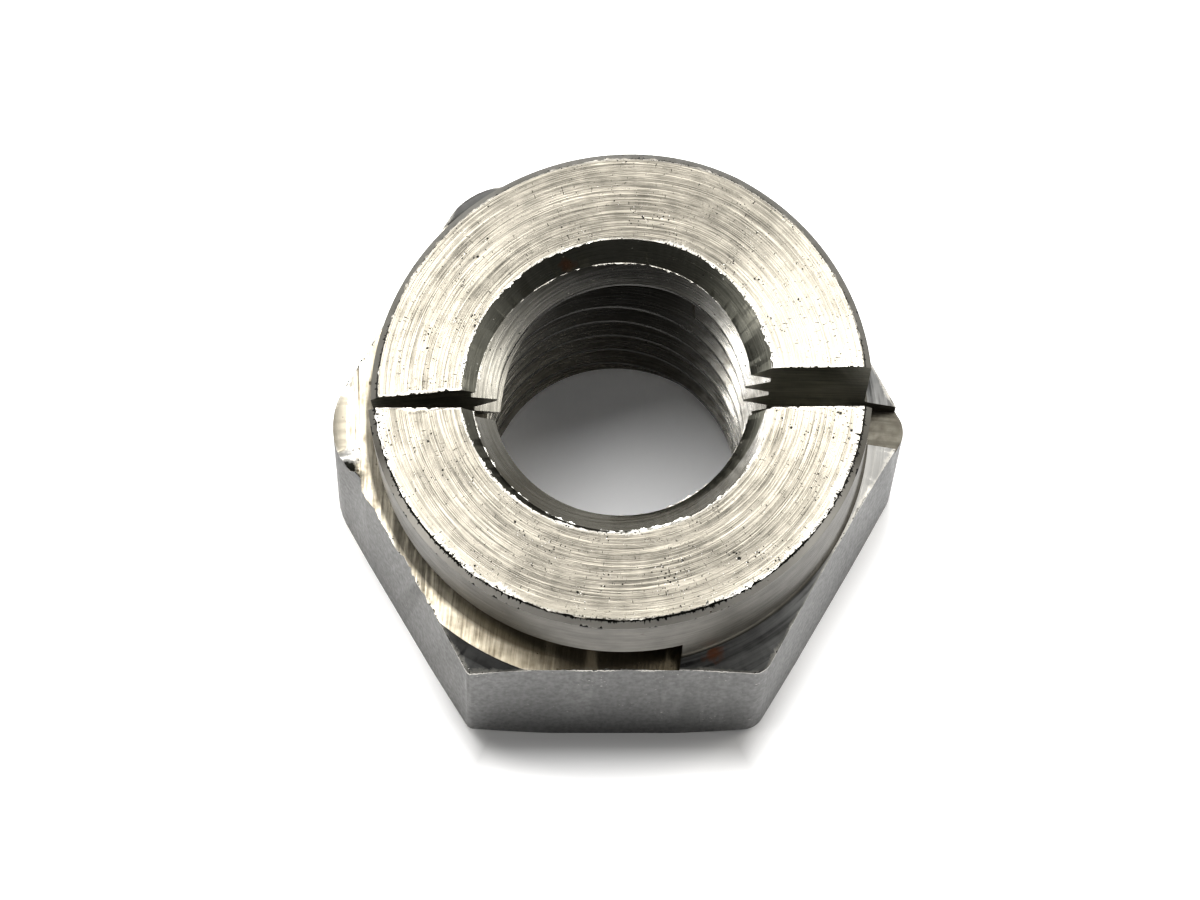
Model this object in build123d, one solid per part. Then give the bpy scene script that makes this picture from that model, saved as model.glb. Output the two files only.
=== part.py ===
from build123d import *

import math
import os

# Slotted self-locking hexagon nut, M10 x 1.5, made in one piece.
# Millimetres. The origin is the centre of the bearing face and +Z points up the thread.
# Two corners of the hexagon lie on X and two flats face along Y. A vertical saw slot runs
# along X through the collar, and a level saw cut comes in from -X below it. They leave two
# half-ring arms with their roots at +X, which are set down and together to grip the bolt.

# Thread and hexagon
PITCH = 1.5
MAJOR_D = 10.0
MINOR_D = MAJOR_D - 1.0825 * PITCH
ACROSS_FLATS = 17.0
HEIGHT = 12.6
SHOULDER_Z = 8.53
BOTTOM_CHAMFER_D = 17.5
CHAMFER_ANGLE = 30.0
# Radius on each corner of the hexagon, anticlockwise from +X
CORNER_RADII = (0.85, 1.4, 1.9, 2.2, 0.2, 0.65)

# Collar and the bore's countersinks
COLLAR_D = 16.7
COLLAR_CHAMFER = 0.25
COLLAR_ROOT_RADIUS = 0.2
MOUTH_D = 10.45
BEARING_MOUTH_D = 10.8

# Saw cuts
SAW_WIDTH = 1.48
SAW_DISC_D = 125.0
SAW_FLOOR_Z = 8.22
SAW_END_X = 2.7
SLOT_OFFSET_Y = -0.19
SLOT_TURN = 0.94
SLOT_FLOOR_RIGHT = (8.4, 7.52)
SLOT_FLOOR_LEFT = (-4.2, 8.25)

# Setting of the arms, in degrees: how far each closes inwards and how far it dips.
# Each arm bends over a short arc of the collar, just past the end of the level cut.
FRONT, REAR = -1, 1
CLOSE = {FRONT: 2.0, REAR: 2.8}
DIP = {FRONT: 2.8, REAR: 4.5}
BEND_START = 75.0
BEND_END = 82.0
BEND_SECTIONS = 5

BORE_R = MINOR_D / 2
COLLAR_R = COLLAR_D / 2
ARM_R = (BORE_R + COLLAR_R) / 2
ARM_BOTTOM_Z = SAW_FLOOR_Z + SAW_WIDTH
ARM_MIDDLE_Z = (ARM_BOTTOM_Z + HEIGHT) / 2
HALF_BEND = ARM_R * math.radians(BEND_END - BEND_START) / 2
# A distance outside the hexagon's corners, for the tools that cut right through
BEYOND = 12.0


def hexagon_prism():
    """The hexagon bar, with each corner rounded by its own radius."""
    corner_r = ACROSS_FLATS / math.sqrt(3)
    turns = [math.radians(60 * i) for i in range(6)]
    corners = [(corner_r * math.cos(a), corner_r * math.sin(a)) for a in turns]
    outline = FilletPolyline(*corners, radius=list(CORNER_RADII), close=True)
    return extrude(make_face(outline), HEIGHT)


def turned_profile():
    """Half section of all that the lathe cuts, on the XZ plane."""
    fall = math.tan(math.radians(CHAMFER_ANGLE))
    flat_r = ACROSS_FLATS / 2
    chamfer_r = BOTTOM_CHAMFER_D / 2
    collar_foot_z = SHOULDER_Z + fall * (flat_r - COLLAR_R)
    mouth_depth = MOUTH_D / 2 - BORE_R
    bearing_depth = (BEARING_MOUTH_D / 2 - BORE_R) * fall
    points = [
        (BORE_R, bearing_depth),
        (BEARING_MOUTH_D / 2, 0),
        (chamfer_r, 0),
        (BEYOND, fall * (BEYOND - chamfer_r)),
        (BEYOND, SHOULDER_Z - fall * (BEYOND - flat_r)),
        (COLLAR_R, collar_foot_z),
        (COLLAR_R, HEIGHT - COLLAR_CHAMFER),
        (COLLAR_R - COLLAR_CHAMFER, HEIGHT),
        (MOUTH_D / 2, HEIGHT),
        (BORE_R, HEIGHT - mouth_depth),
    ]
    face = make_face(Polyline(*points, close=True))
    foot = face.vertices().sort_by_distance((COLLAR_R, collar_foot_z, 0))[0]
    return Plane.XZ * fillet(foot, COLLAR_ROOT_RADIUS)


def turned_blank():
    """Hexagon bar turned, chamfered and bored, before the saw cuts."""
    return revolve(turned_profile(), Axis.Z) & hexagon_prism()


def arm_room():
    """Everything above the saw floor on the side of the arms, beyond where they start to bend."""
    far = 3 * BEYOND
    edge = math.radians(BEND_START)
    edge_x, edge_y = far * math.cos(edge), far * math.sin(edge)
    points = [(0, 0), (edge_x, edge_y), (-far, edge_y), (-far, -edge_y), (edge_x, -edge_y)]
    return Pos(0, 0, SAW_FLOOR_Z) * extrude(make_face(Polyline(*points, close=True)), HEIGHT)


def saw_disc():
    """The level saw, at the end of its feed from -X."""
    radius = SAW_DISC_D / 2
    place = Pos(SAW_END_X - radius, 0, SAW_FLOOR_Z)
    return place * Cylinder(radius, SAW_WIDTH, align=(Align.CENTER, Align.CENTER, Align.MIN))


def slot_saw():
    """The upright saw, whose floor falls towards the roots of the arms."""
    run = SLOT_FLOOR_RIGHT[0] - SLOT_FLOOR_LEFT[0]
    slope = (SLOT_FLOOR_LEFT[1] - SLOT_FLOOR_RIGHT[1]) / run
    right_z = SLOT_FLOOR_RIGHT[1] - slope * (BEYOND - SLOT_FLOOR_RIGHT[0])
    left_z = SLOT_FLOOR_LEFT[1] + slope * (BEYOND + SLOT_FLOOR_LEFT[0])
    top = HEIGHT + SAW_WIDTH
    points = [(-BEYOND, left_z), (BEYOND, right_z), (BEYOND, top), (-BEYOND, top)]
    blade = extrude(Plane.XZ * make_face(Polyline(*points, close=True)), SAW_WIDTH / 2, both=True)
    return Pos(0, SLOT_OFFSET_Y, 0) * Rot(0, 0, SLOT_TURN) * blade


def body():
    """Hexagon and the rooted part of the collar."""
    return turned_blank() - saw_disc() - arm_room() - slot_saw()


def arm_section(side, angle):
    """Section of an unset arm on the upright plane through the axis at this angle."""
    mouth_depth = MOUTH_D / 2 - BORE_R
    points = [
        (BORE_R, ARM_BOTTOM_Z),
        (COLLAR_R, ARM_BOTTOM_Z),
        (COLLAR_R, HEIGHT - COLLAR_CHAMFER),
        (COLLAR_R - COLLAR_CHAMFER, HEIGHT),
        (MOUTH_D / 2, HEIGHT),
        (BORE_R, HEIGHT - mouth_depth),
    ]
    face = Plane.XZ * make_face(Polyline(*points, close=True))
    return Rot(0, 0, side * angle) * face


def set_arm(shape, side, share):
    """Turn and shift a shape as the arm's middle line goes at this share of the bend."""
    turn = math.radians(BEND_START + share * (BEND_END - BEND_START))
    middle = (ARM_R * math.cos(turn), side * ARM_R * math.sin(turn), ARM_MIDDLE_Z)
    turned = shape.rotate(Axis(middle, (0, 1, 0)), -share * DIP[side])
    turned = turned.rotate(Axis(middle, (0, 0, 1)), side * share * CLOSE[side])
    drift = HALF_BEND * share * share
    inward = -side * drift * math.radians(CLOSE[side])
    sink = -drift * math.radians(DIP[side])
    return Pos(0, inward, sink) * turned


def bend(side):
    """The short curved stretch where an arm leaves its root."""
    shares = [i / (BEND_SECTIONS - 1) for i in range(BEND_SECTIONS)]
    angles = [BEND_START + share * (BEND_END - BEND_START) for share in shares]
    sections = [set_arm(arm_section(side, angle), side, share) for angle, share in zip(angles, shares)]
    return loft(sections)


def arm(side):
    """The straight-set part of an arm, from its bend to its tip at the slot."""
    axis = Axis((0, 0, 0), (0, 0, side))
    half_ring = revolve(arm_section(side, BEND_END), axis, revolution_arc=180 - BEND_END)
    return set_arm(half_ring - slot_saw(), side, 1.0)


def nut():
    """The finished nut: the body with an arm and its bend on each side of the slot."""
    whole = body()
    for side in (FRONT, REAR):
        whole = whole + bend(side) + arm(side)
    return whole


os.makedirs("parts", exist_ok=True)
export_step(nut(), "parts/nut.step")
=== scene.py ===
"""Dresses a slotted self-locking hexagon nut: cut thread, set arms, burrs and tool marks.

Lengths inside the functions are millimetres and each finished mesh is scaled to metres. The
origin is the centre of the bearing face, +Z points up the thread, and two corners of the
hexagon lie on X. FRONT is the arm on the -Y side of the upright slot and REAR the one on +Y.
"""

import math
import random

import bmesh
import bpy
from bpy.props import FloatProperty, FloatVectorProperty, IntProperty, PointerProperty
from mathutils import Matrix, Vector, noise


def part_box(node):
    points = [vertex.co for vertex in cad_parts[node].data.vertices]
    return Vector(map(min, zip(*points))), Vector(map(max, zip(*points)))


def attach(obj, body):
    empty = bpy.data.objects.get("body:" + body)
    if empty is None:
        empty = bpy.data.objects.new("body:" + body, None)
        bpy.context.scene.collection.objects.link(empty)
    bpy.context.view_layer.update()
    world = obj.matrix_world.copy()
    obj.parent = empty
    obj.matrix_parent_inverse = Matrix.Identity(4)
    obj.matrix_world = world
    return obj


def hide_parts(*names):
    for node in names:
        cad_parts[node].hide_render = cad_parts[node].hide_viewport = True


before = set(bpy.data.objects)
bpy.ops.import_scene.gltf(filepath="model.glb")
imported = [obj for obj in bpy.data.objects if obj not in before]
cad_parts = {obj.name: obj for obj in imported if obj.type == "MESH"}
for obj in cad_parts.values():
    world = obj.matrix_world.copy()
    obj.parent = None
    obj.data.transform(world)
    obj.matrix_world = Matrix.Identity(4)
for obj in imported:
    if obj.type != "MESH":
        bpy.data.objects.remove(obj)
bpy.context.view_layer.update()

bl_info = {
    "name": "Slotted lock nut",
    "version": (1, 0, 0),
    "blender": (4, 5, 0),
    "location": "3D View > Sidebar > Lock nut",
    "description": "Makes a slotted self-locking hexagon nut and the table it stands on",
    "category": "Add Mesh",
}

MM = 0.001
NODE = "nut"
LOW, HIGH = (tuple(value / MM for value in corner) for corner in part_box(NODE))
ACROSS_FLATS = HIGH[1] - LOW[1]
TAN30 = math.tan(math.radians(30.0))

# Surfaces of the nut, each with its own finish. Their order is that of the material slots
ZONES = (
    "turned_face", "collar_side", "mouth", "thread", "sawn_floor", "slot_wall", "flats", "shoulder",
    "bearing_face", "burr",
)
ZONE = {name: index for index, name in enumerate(ZONES)}

# Body, in millimetres
COLLAR_R = 8.343
COLLAR_CHAMFER = 0.25
FACE_Z = 12.58
SHOULDER_CONE_Z = 13.44
BEARING_R = 8.744
# Radius on each corner of the hexagon, anticlockwise from +X
CORNER_RADII = (0.85, 1.4, 1.9, 2.2, 0.2, 0.65)
CORNER_STEPS = 7
COLLAR_ROOT_R = 0.2
COLLAR_ROOT_LIFT = 0.09
COLLAR_ROOT_STEPS = 4
RIM_R = COLLAR_R - COLLAR_CHAMFER
# A height above the cone's top at the flats, for where nothing is sawn
ABOVE_CONE_Z = 9.0
# The turned blank's radius as a share of the flats' width, past every corner
BLANK_SHARE = 0.6
# The hexagon bar: how far it reaches below the nut, and its length
BAR_BELOW = 1.0
BAR_LENGTH = 16.0

# Bore and thread
THREAD_R = 4.29
GROOVE_R = 5.1
MOUTH_R = 5.237
MOUTH_SHIFT = (-0.108, 0.060)
BEARING_MOUTH_R = 5.4
THREAD_START = -0.82
THREAD_TURNS = 11
GROOVE_FLAT = 0.19
# How far the tap's ridge starts inside the bore
RIDGE_ROOT = 0.14

# Saw cuts
SAW_DISC_R = 62.5
SAW_END_X = 2.65
SAW_FLOOR_Z = 8.224
SAW_WIDTH = 1.487
SLOT_Y = -0.187
SLOT_TURN = 0.94
SLOT_FLOOR = ((8.4, 7.52), (-4.2, 8.25))
SLOT_LENGTH = 28.0
SLOT_ABOVE = 3.0

# Set of the two arms: how far each is closed and dipped, in radians
FRONT, REAR = -1, 1
HINGE_X = 2.649
HINGE_REACH = 1.36
CLOSE = {FRONT: 0.03076, REAR: 0.05360}
DIP = {FRONT: 0.04264, REAR: 0.07030}
LEAN = 0.068
ARM_CENTRE_R = 6.262
ARM_CENTRE_Z = 11.22

# Fineness of the meshes
TURN_STEPS = 720
THREAD_STEPS = 160
RIM_STEP = 0.085
SAW_STEPS = 720
SAW_SLICE_START = 0.31
SAW_SLICE = 0.6
SAW_SLICES = 21
HINGE_SLICES = 10
HINGE_LEVELS = (8.9, 9.3)
SHARP_ANGLE = math.radians(25.0)
RIM_ANGLE = math.radians(20.0)
# A face is upright where its normal's Z is under the first, and level past the second
UPRIGHT = 0.1
LEVEL = 0.99
# How far outside a zone's radius its faces may lie, and the height that the mouth stays above
ZONE_ROOM = 0.15
MOUTH_FOOT_Z = FACE_Z - 1.2
# Millimetres to one unit of the UV map
UV_SCALE = 10.0


class NutSizes(bpy.types.PropertyGroup):
    """Sizes of the nut that a maker would change"""

    pitch: FloatProperty(
        name="Pitch", description="Rise of the thread in one turn", default=1.5 * MM, unit="LENGTH"
    )
    burr: FloatProperty(
        name="Burr", description="How far the burrs stand out of the rims", default=0.09 * MM,
        unit="LENGTH",
    )
    seed: IntProperty(
        name="Seed", description="Start of the random draws that place the burrs", default=7
    )


class NutFinish(bpy.types.PropertyGroup):
    """Colours of the nut's finishes"""

    bright: FloatVectorProperty(
        name="Bright steel", description="Colour of the turned faces", default=(0.44, 0.407, 0.335),
        size=3, subtype="COLOR",
    )
    dull: FloatVectorProperty(
        name="Dull steel", description="Colour of the hexagon's flats", default=(0.19, 0.19, 0.185),
        size=3, subtype="COLOR",
    )


# ---- meshes


def spun(points, steps, turns=1.0, rise=0.0):
    """Spins a closed profile of (radius, height) points about Z, as one ring or a helix."""
    bm = bmesh.new()
    verts = [bm.verts.new((radius, 0.0, height)) for radius, height in points]
    edges = [bm.edges.new(pair) for pair in zip(verts, verts[1:] + verts[:1])]
    bmesh.ops.spin(
        bm, geom=verts + edges, cent=(0, 0, 0), axis=(0, 0, 1), dvec=(0, 0, rise * turns / steps),
        angle=math.tau * turns, steps=steps, use_merge=not rise,
    )
    if rise:
        ends = [edge for edge in bm.edges if edge.is_boundary]
        bmesh.ops.holes_fill(bm, edges=ends, sides=0)
    bmesh.ops.recalc_face_normals(bm, faces=bm.faces)
    return bm


def blank_profile():
    """Half section of the turned blank, anticlockwise from the bearing mouth."""
    outside = ACROSS_FLATS * BLANK_SHARE
    root_z = SHOULDER_CONE_Z - TAN30 * COLLAR_R + COLLAR_ROOT_LIFT
    root_r = COLLAR_R + COLLAR_ROOT_R
    steps = range(COLLAR_ROOT_STEPS + 1)
    angles = [math.radians(240.0 - 60.0 * step / COLLAR_ROOT_STEPS) for step in steps]
    root = [
        (root_r + COLLAR_ROOT_R * math.cos(angle), root_z + COLLAR_ROOT_R * math.sin(angle))
        for angle in angles
    ]
    bearing_depth = (BEARING_MOUTH_R - THREAD_R) * TAN30
    mouth_depth = MOUTH_R - THREAD_R
    return [
        (THREAD_R, bearing_depth), (BEARING_MOUTH_R, 0.0), (BEARING_R, 0.0),
        (outside, TAN30 * (outside - BEARING_R)), (outside, SHOULDER_CONE_Z - TAN30 * outside),
        *root, (COLLAR_R, FACE_Z - COLLAR_CHAMFER), (RIM_R, FACE_Z), (MOUTH_R, FACE_Z),
        (THREAD_R, FACE_Z - mouth_depth),
    ]


def turned_blank():
    """The blank as it leaves the lathe, with its bore and countersinks."""
    bm = spun(blank_profile(), TURN_STEPS)
    rim = [
        vert
        for vert in bm.verts
        if vert.co.z > FACE_Z - 0.01 and vert.co.xy.length < MOUTH_R + 0.01
    ]
    bmesh.ops.translate(bm, verts=rim, vec=(*MOUTH_SHIFT, 0.0))
    for face in bm.faces:
        middle = face.calc_center_median()
        radius, up = middle.xy.length, face.normal.z
        if radius < MOUTH_R + ZONE_ROOM and middle.z > MOUTH_FOOT_Z and up < LEVEL:
            zone = "mouth" if up > UPRIGHT else "thread"
        elif radius < BEARING_MOUTH_R and up < LEVEL:
            zone = "thread" if abs(up) < UPRIGHT else "bearing_face"
        elif up > LEVEL:
            zone = "turned_face"
        elif up < -LEVEL:
            zone = "bearing_face"
        elif middle.z > SAW_FLOOR_Z and radius < COLLAR_R + ZONE_ROOM:
            zone = "collar_side"
        elif abs(up) > UPRIGHT:
            zone = "shoulder"
        else:
            zone = "collar_side"
        face.material_index = ZONE[zone]
    return bm


def painted(bm, zone):
    """Gives every face to one zone, and the mesh back."""
    for face in bm.faces:
        face.material_index = ZONE[zone]
    return bm


def slice_up(bm, normal, places):
    """Cuts the faces along parallel planes, so that none is left wide or has a hole."""
    for place in places:
        bmesh.ops.bisect_plane(
            bm, geom=bm.verts[:] + bm.edges[:] + bm.faces[:], dist=1e-5,
            plane_co=Vector(normal) * place, plane_no=normal,
        )


def hexagon_bar():
    """Hexagon bar with its corners on X, each corner rounded to its own radius."""
    bm = bmesh.new()
    bmesh.ops.create_circle(bm, cap_ends=True, segments=6, radius=ACROSS_FLATS / math.sqrt(3.0))
    bmesh.ops.rotate(
        bm, verts=bm.verts, cent=(0, 0, 0), matrix=Matrix.Rotation(math.pi / 2, 3, "Z")
    )
    walls = bmesh.ops.extrude_face_region(bm, geom=bm.faces[:])
    top = [item for item in walls["geom"] if isinstance(item, bmesh.types.BMVert)]
    bmesh.ops.translate(bm, verts=top, vec=(0, 0, BAR_LENGTH))
    bmesh.ops.translate(bm, verts=bm.verts, vec=(0, 0, -BAR_BELOW))
    for number, radius in enumerate(CORNER_RADII):
        angle = math.radians(60.0 * number)
        way = Vector((math.cos(angle), math.sin(angle)))
        corner = max(
            (edge for edge in bm.edges if abs(edge.verts[0].co.z - edge.verts[1].co.z) > 1),
            key=lambda edge: edge.verts[0].co.xy.dot(way),
        )
        bmesh.ops.bevel(
            bm, geom=[corner], offset=radius * TAN30, offset_type="OFFSET", affect="EDGES",
            segments=CORNER_STEPS, profile=0.5, material=-1,
        )
    bmesh.ops.recalc_face_normals(bm, faces=bm.faces)
    return painted(bm, "flats")


def thread_ridge(pitch):
    """The ridge that a tap cuts out of the bore, a V as deep as the thread."""
    inner = THREAD_R - RIDGE_ROOT
    half = GROOVE_FLAT + (GROOVE_R - inner) * TAN30
    bm = spun(
        [
            (GROOVE_R, THREAD_START - GROOVE_FLAT), (GROOVE_R, THREAD_START + GROOVE_FLAT),
            (inner, THREAD_START + half), (inner, THREAD_START - half),
        ],
        THREAD_STEPS * THREAD_TURNS,
        THREAD_TURNS,
        pitch,
    )
    return painted(bm, "thread")


def saw_disc():
    """The level saw, fed in from -X under the collar."""
    bm = bmesh.new()
    bmesh.ops.create_cone(
        bm, cap_ends=True, segments=SAW_STEPS, radius1=SAW_DISC_R, radius2=SAW_DISC_R,
        depth=SAW_WIDTH,
    )
    place = (SAW_END_X - SAW_DISC_R, 0.0, SAW_FLOOR_Z + SAW_WIDTH / 2)
    bmesh.ops.translate(bm, verts=bm.verts, vec=place)
    first = SAW_END_X - SAW_SLICE_START
    slice_up(bm, (1, 0, 0), [first - SAW_SLICE * step for step in range(SAW_SLICES)])
    return painted(bm, "sawn_floor")


def slot_saw():
    """The upright saw along X, whose floor climbs to the left."""
    (right_x, right_z), (left_x, left_z) = SLOT_FLOOR
    slope = (right_z - left_z) / (right_x - left_x)
    bm = bmesh.new()
    bmesh.ops.create_cube(bm, size=1.0)
    bmesh.ops.scale(bm, verts=bm.verts, vec=(SLOT_LENGTH, SAW_WIDTH, 1.0))
    for vert in bm.verts:
        if vert.co.z < 0.0:
            vert.co.z = right_z + slope * (vert.co.x - right_x)
        else:
            vert.co.z = FACE_Z + SLOT_ABOVE
    bmesh.ops.rotate(
        bm, verts=bm.verts, cent=(0, 0, 0), matrix=Matrix.Rotation(math.radians(SLOT_TURN), 3, "Z")
    )
    bmesh.ops.translate(bm, verts=bm.verts, vec=(0, SLOT_Y, 0))
    return painted(bm, "slot_wall")


def material_named(name):
    """The material of that name, made if there is none yet."""
    return bpy.data.materials.get(name) or bpy.data.materials.new(name)


def as_object(bm, name, materials=ZONES):
    """Puts a finished bmesh in a new object of the scene."""
    mesh = bpy.data.meshes.new(name)
    bm.to_mesh(mesh)
    bm.free()
    thing = bpy.data.objects.new(name, mesh)
    bpy.context.scene.collection.objects.link(thing)
    for key in materials:
        mesh.materials.append(material_named(key))
    return thing


def machined(blank, cuts):
    """Works the blank with one Boolean after another and gives the result as a bmesh."""
    work = as_object(blank, "blank")
    tools = []
    for operation, tool_mesh in cuts:
        tool = as_object(tool_mesh, "tool")
        tools.append(tool)
        cut = work.modifiers.new("cut", "BOOLEAN")
        cut.object = tool
        cut.operation = operation
        cut.solver = "EXACT"
    evaluated = work.evaluated_get(bpy.context.evaluated_depsgraph_get())
    mesh = bpy.data.meshes.new_from_object(evaluated)
    bm = bmesh.new()
    bm.from_mesh(mesh)
    for thing in [work, *tools]:
        data = thing.data
        bpy.data.objects.remove(thing)
        bpy.data.meshes.remove(data)
    bpy.data.meshes.remove(mesh)
    return bm


# ---- rims and burrs


def rim_edges(bm, pairs):
    """Sharp edges where a face of one zone meets a face of another."""
    wanted = {frozenset((ZONE[a], ZONE[b])) for a, b in pairs}
    found = []
    for edge in bm.edges:
        if len(edge.link_faces) == 2:
            kinds = frozenset(face.material_index for face in edge.link_faces)
            if kinds in wanted and edge.calc_face_angle() > RIM_ANGLE:
                found.append(edge)
    return found


def divide(bm, edges, longest):
    """Divides the edges until none is longer than the given length."""
    by_cuts = {}
    for edge in edges:
        cuts = math.ceil(edge.calc_length() / longest) - 1
        if cuts > 0:
            by_cuts.setdefault(cuts, []).append(edge)
    for cuts, group in sorted(by_cuts.items()):
        bmesh.ops.subdivide_edges(bm, edges=group, cuts=cuts)


RIM_PAIRS = (
    ("turned_face", "collar_side"),
    ("turned_face", "mouth"),
    ("turned_face", "slot_wall"),
    ("mouth", "thread"),
    ("sawn_floor", "flats"),
    ("shoulder", "flats"),
)
# Edge of the sawn floor along the cone, and where the left corner begins
CORNER_RIM = (("sawn_floor", "shoulder"),)
CORNER_RIM_R = (SHOULDER_CONE_Z - SAW_FLOOR_Z) / TAN30 - 0.005
LEFT_CORNER_X = -7.5
# The torn place: where it is, how far it reaches and how deep it goes
TORN_PLACE = Vector((-8.75, -1.5, SAW_FLOOR_Z))
TORN_REACH = 0.85
TORN_DEPTH = 0.45
# Depth and fineness of the broad and the fine bites along the rest of the edge
BROAD_BITE = (0.16, 1.3)
FINE_BITE = (0.12, 4.5)
TORN_BITE = 3.0
# Width of the strip that breaks each rim, and fineness of the coarse and the fine fins
STRIP_WIDTH = 0.022
COARSE_FIN = 0.9
FINE_FIN = 5.0


def tear_edges(bm, start):
    """Chews the outer edge of the sawn floor, most of all at one torn place at the left."""
    corner = [edge for edge in rim_edges(bm, CORNER_RIM) if edge.verts[0].co.x < LEFT_CORNER_X]
    edges = rim_edges(bm, (("sawn_floor", "flats"),)) + corner
    for vert in sorted({vert for edge in edges for vert in edge.verts}, key=lambda v: v.index):
        place = vert.co
        torn = max(0.0, 1.0 - (place - TORN_PLACE).length / TORN_REACH)
        left = min(1.0, max(0.15, (-3.0 - place.x) / 2.0))
        broad = BROAD_BITE[0] * max(0.0, 0.1 + noise.noise(place * BROAD_BITE[1] + start))
        fine = FINE_BITE[0] * max(0.0, noise.noise(place * FINE_BITE[1] + start))
        hole = TORN_DEPTH * torn * max(0.0, 0.6 + noise.noise(place * TORN_BITE + start))
        depth = (broad + fine) * left + hole
        away = Vector((place.x, place.y, 0.0)).normalized()
        on_cone = place.x < LEFT_CORNER_X and place.xy.length > CORNER_RIM_R
        drop = -TAN30 if on_cone else 0.5
        vert.co = place - away * depth - Vector((0, 0, drop * depth))


def raise_burrs(bm, reach, draw):
    """Breaks the rims with a narrow strip and draws ragged fins out of it."""
    divide(bm, rim_edges(bm, RIM_PAIRS + CORNER_RIM), RIM_STEP)
    start = Vector((draw.random() * 50, draw.random() * 50, 0.0))
    bm.verts.index_update()
    tear_edges(bm, start)
    strip = bmesh.ops.bevel(
        bm, geom=rim_edges(bm, RIM_PAIRS), offset=STRIP_WIDTH, offset_type="OFFSET", affect="EDGES",
        segments=2, profile=0.5, material=ZONE["burr"], clamp_overlap=True,
    )
    faces = set(strip["faces"])
    fins = [vert for vert in strip["verts"] if faces.issuperset(vert.link_faces)]
    for vert in fins:
        coarse = noise.noise(vert.co * COARSE_FIN + start)
        fine = noise.noise(vert.co * FINE_FIN + start)
        height = reach * max(0.0, 0.1 + 0.9 * coarse + 0.8 * fine) * (0.4 + draw.random())
        away = Vector((vert.co.x, vert.co.y, 0.0)).normalized()
        if vert.co.xy.length < MOUTH_R + 0.3:
            away = -away
        elif vert.co.z < SAW_FLOOR_Z + SAW_WIDTH:
            away = Vector((0, 0, 0.6)) - away * 0.5
        vert.co += (away + Vector((0, 0, -0.1))) * height


# ---- setting the arms


def mark_stock(bm):
    """Keeps each point's place before the arms are set, so that tool marks follow them."""
    layer = bm.verts.layers.float_vector.new("stock")
    for vert in bm.verts:
        vert[layer] = vert.co


def cut_hinges(bm):
    """Cuts the faces where the arms bend, so that they can follow the bend."""
    steps = [step / (HINGE_SLICES / 2) - 1.0 for step in range(HINGE_SLICES + 1)]
    slice_up(bm, (1, 0, 0), [HINGE_X + HINGE_REACH * step for step in steps])
    slice_up(bm, (0, 0, 1), HINGE_LEVELS)


def set_arms(bm):
    """Sets both arms down and together, bending them at the end of the level cut."""
    turn = math.tan(math.radians(SLOT_TURN))
    shoulder_z = SHOULDER_CONE_Z - TAN30 * ACROSS_FLATS / 2
    for vert in bm.verts:
        x, y, z = vert.co
        weight = min(1.0, max(0.0, (z - SAW_FLOOR_Z) / SAW_WIDTH))
        if weight <= 0.0:
            continue
        side = REAR if y > SLOT_Y + turn * x else FRONT
        behind = HINGE_X - x
        if behind < -HINGE_REACH:
            bend, slope = 0.0, 0.0
        elif behind < HINGE_REACH:
            bend = (behind + HINGE_REACH) ** 2 / (4 * HINGE_REACH)
            slope = (behind + HINGE_REACH) / (2 * HINGE_REACH)
        else:
            bend, slope = behind, 1.0
        lean = LEAN * min(1.0, max(0.0, (z - shoulder_z) / (FACE_Z - shoulder_z)))
        shift_y = -side * (CLOSE[side] * bend + lean)
        shift_x = -side * CLOSE[side] * (y - side * ARM_CENTRE_R) * slope
        shift_x -= DIP[side] * (z - ARM_CENTRE_Z) * slope
        vert.co += Vector((shift_x, shift_y, -DIP[side] * bend)) * weight


# ---- finish of the mesh


def tool_paths(bm):
    """Writes a UV map whose U runs across the marks that the tool left on each surface."""
    layer = bm.loops.layers.uv.new("tool_path")
    straight = ("sawn_floor", "slot_wall", "flats")
    round_zones = {ZONE[name] for name in ZONES if name not in straight}
    for face in bm.faces:
        middle = face.calc_center_median()
        centre_angle = math.atan2(middle.y, middle.x)
        for loop in face.loops:
            x, y, z = loop.vert.co
            if face.material_index in round_zones:
                turn = math.remainder(math.atan2(y, x) - centre_angle, math.tau)
                loop[layer].uv = ((math.hypot(x, y) + z) / UV_SCALE, centre_angle + turn)
            elif face.material_index == ZONE["sawn_floor"]:
                loop[layer].uv = (x / UV_SCALE, y / UV_SCALE)
            elif face.material_index == ZONE["slot_wall"]:
                loop[layer].uv = (z / UV_SCALE, x / UV_SCALE)
            else:
                loop[layer].uv = ((x + y) / UV_SCALE, z / UV_SCALE)


def finish_mesh(bm):
    """Smooths the shading between gentle edges and keeps the sharp ones."""
    for face in bm.faces:
        face.smooth = True
    for edge in bm.edges:
        edge.smooth = edge.calc_face_angle(0.0) < SHARP_ANGLE


# ---- materials


# How far the gloss varies with the tone, and how deep the tool marks are
ROUGH_SPREAD = 0.1
BUMP_DEPTH = 0.02 * MM
# How strong the bright lip of a torn rim is, and the depths of what is laid over the tool lines
LIP_STRENGTH = 0.7
TEAR_DEPTH = 0.5
CUT_DEPTH = 1.0
PIT_DEPTH = 1.5

# Tones that several finishes share, as linear red, green and blue
BURR_BRIGHT = (0.95, 0.93, 0.88)
LIP_BRIGHT = (0.78, 0.75, 0.68)
HOLE_DARK = (0.01, 0.01, 0.008)
TOOTH_DARK = (0.012, 0.012, 0.01)
PIT_DARK = (0.02, 0.02, 0.018)
NICK_DARK = (0.03, 0.028, 0.022)
SHADED = (0.13, 0.125, 0.11)
BURR_DARK = (0.12, 0.11, 0.09)
# SHUT_IN serves as painted shade deep in the thread and on its rear crests, and darkens the
# shoulder's rear left
SHUT_IN = (0.05, 0.047, 0.04)
RUST = (0.30, 0.10, 0.035)

# Where the outer rim is chewed, in degrees round the bore from +X, and how much of the most
CHEWED_LEFT = (-172.0, -118.0)
CHEWED_RIGHT = (-62.0, -4.0)
CHEWED_RIGHT_SHARE = 0.9
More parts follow.
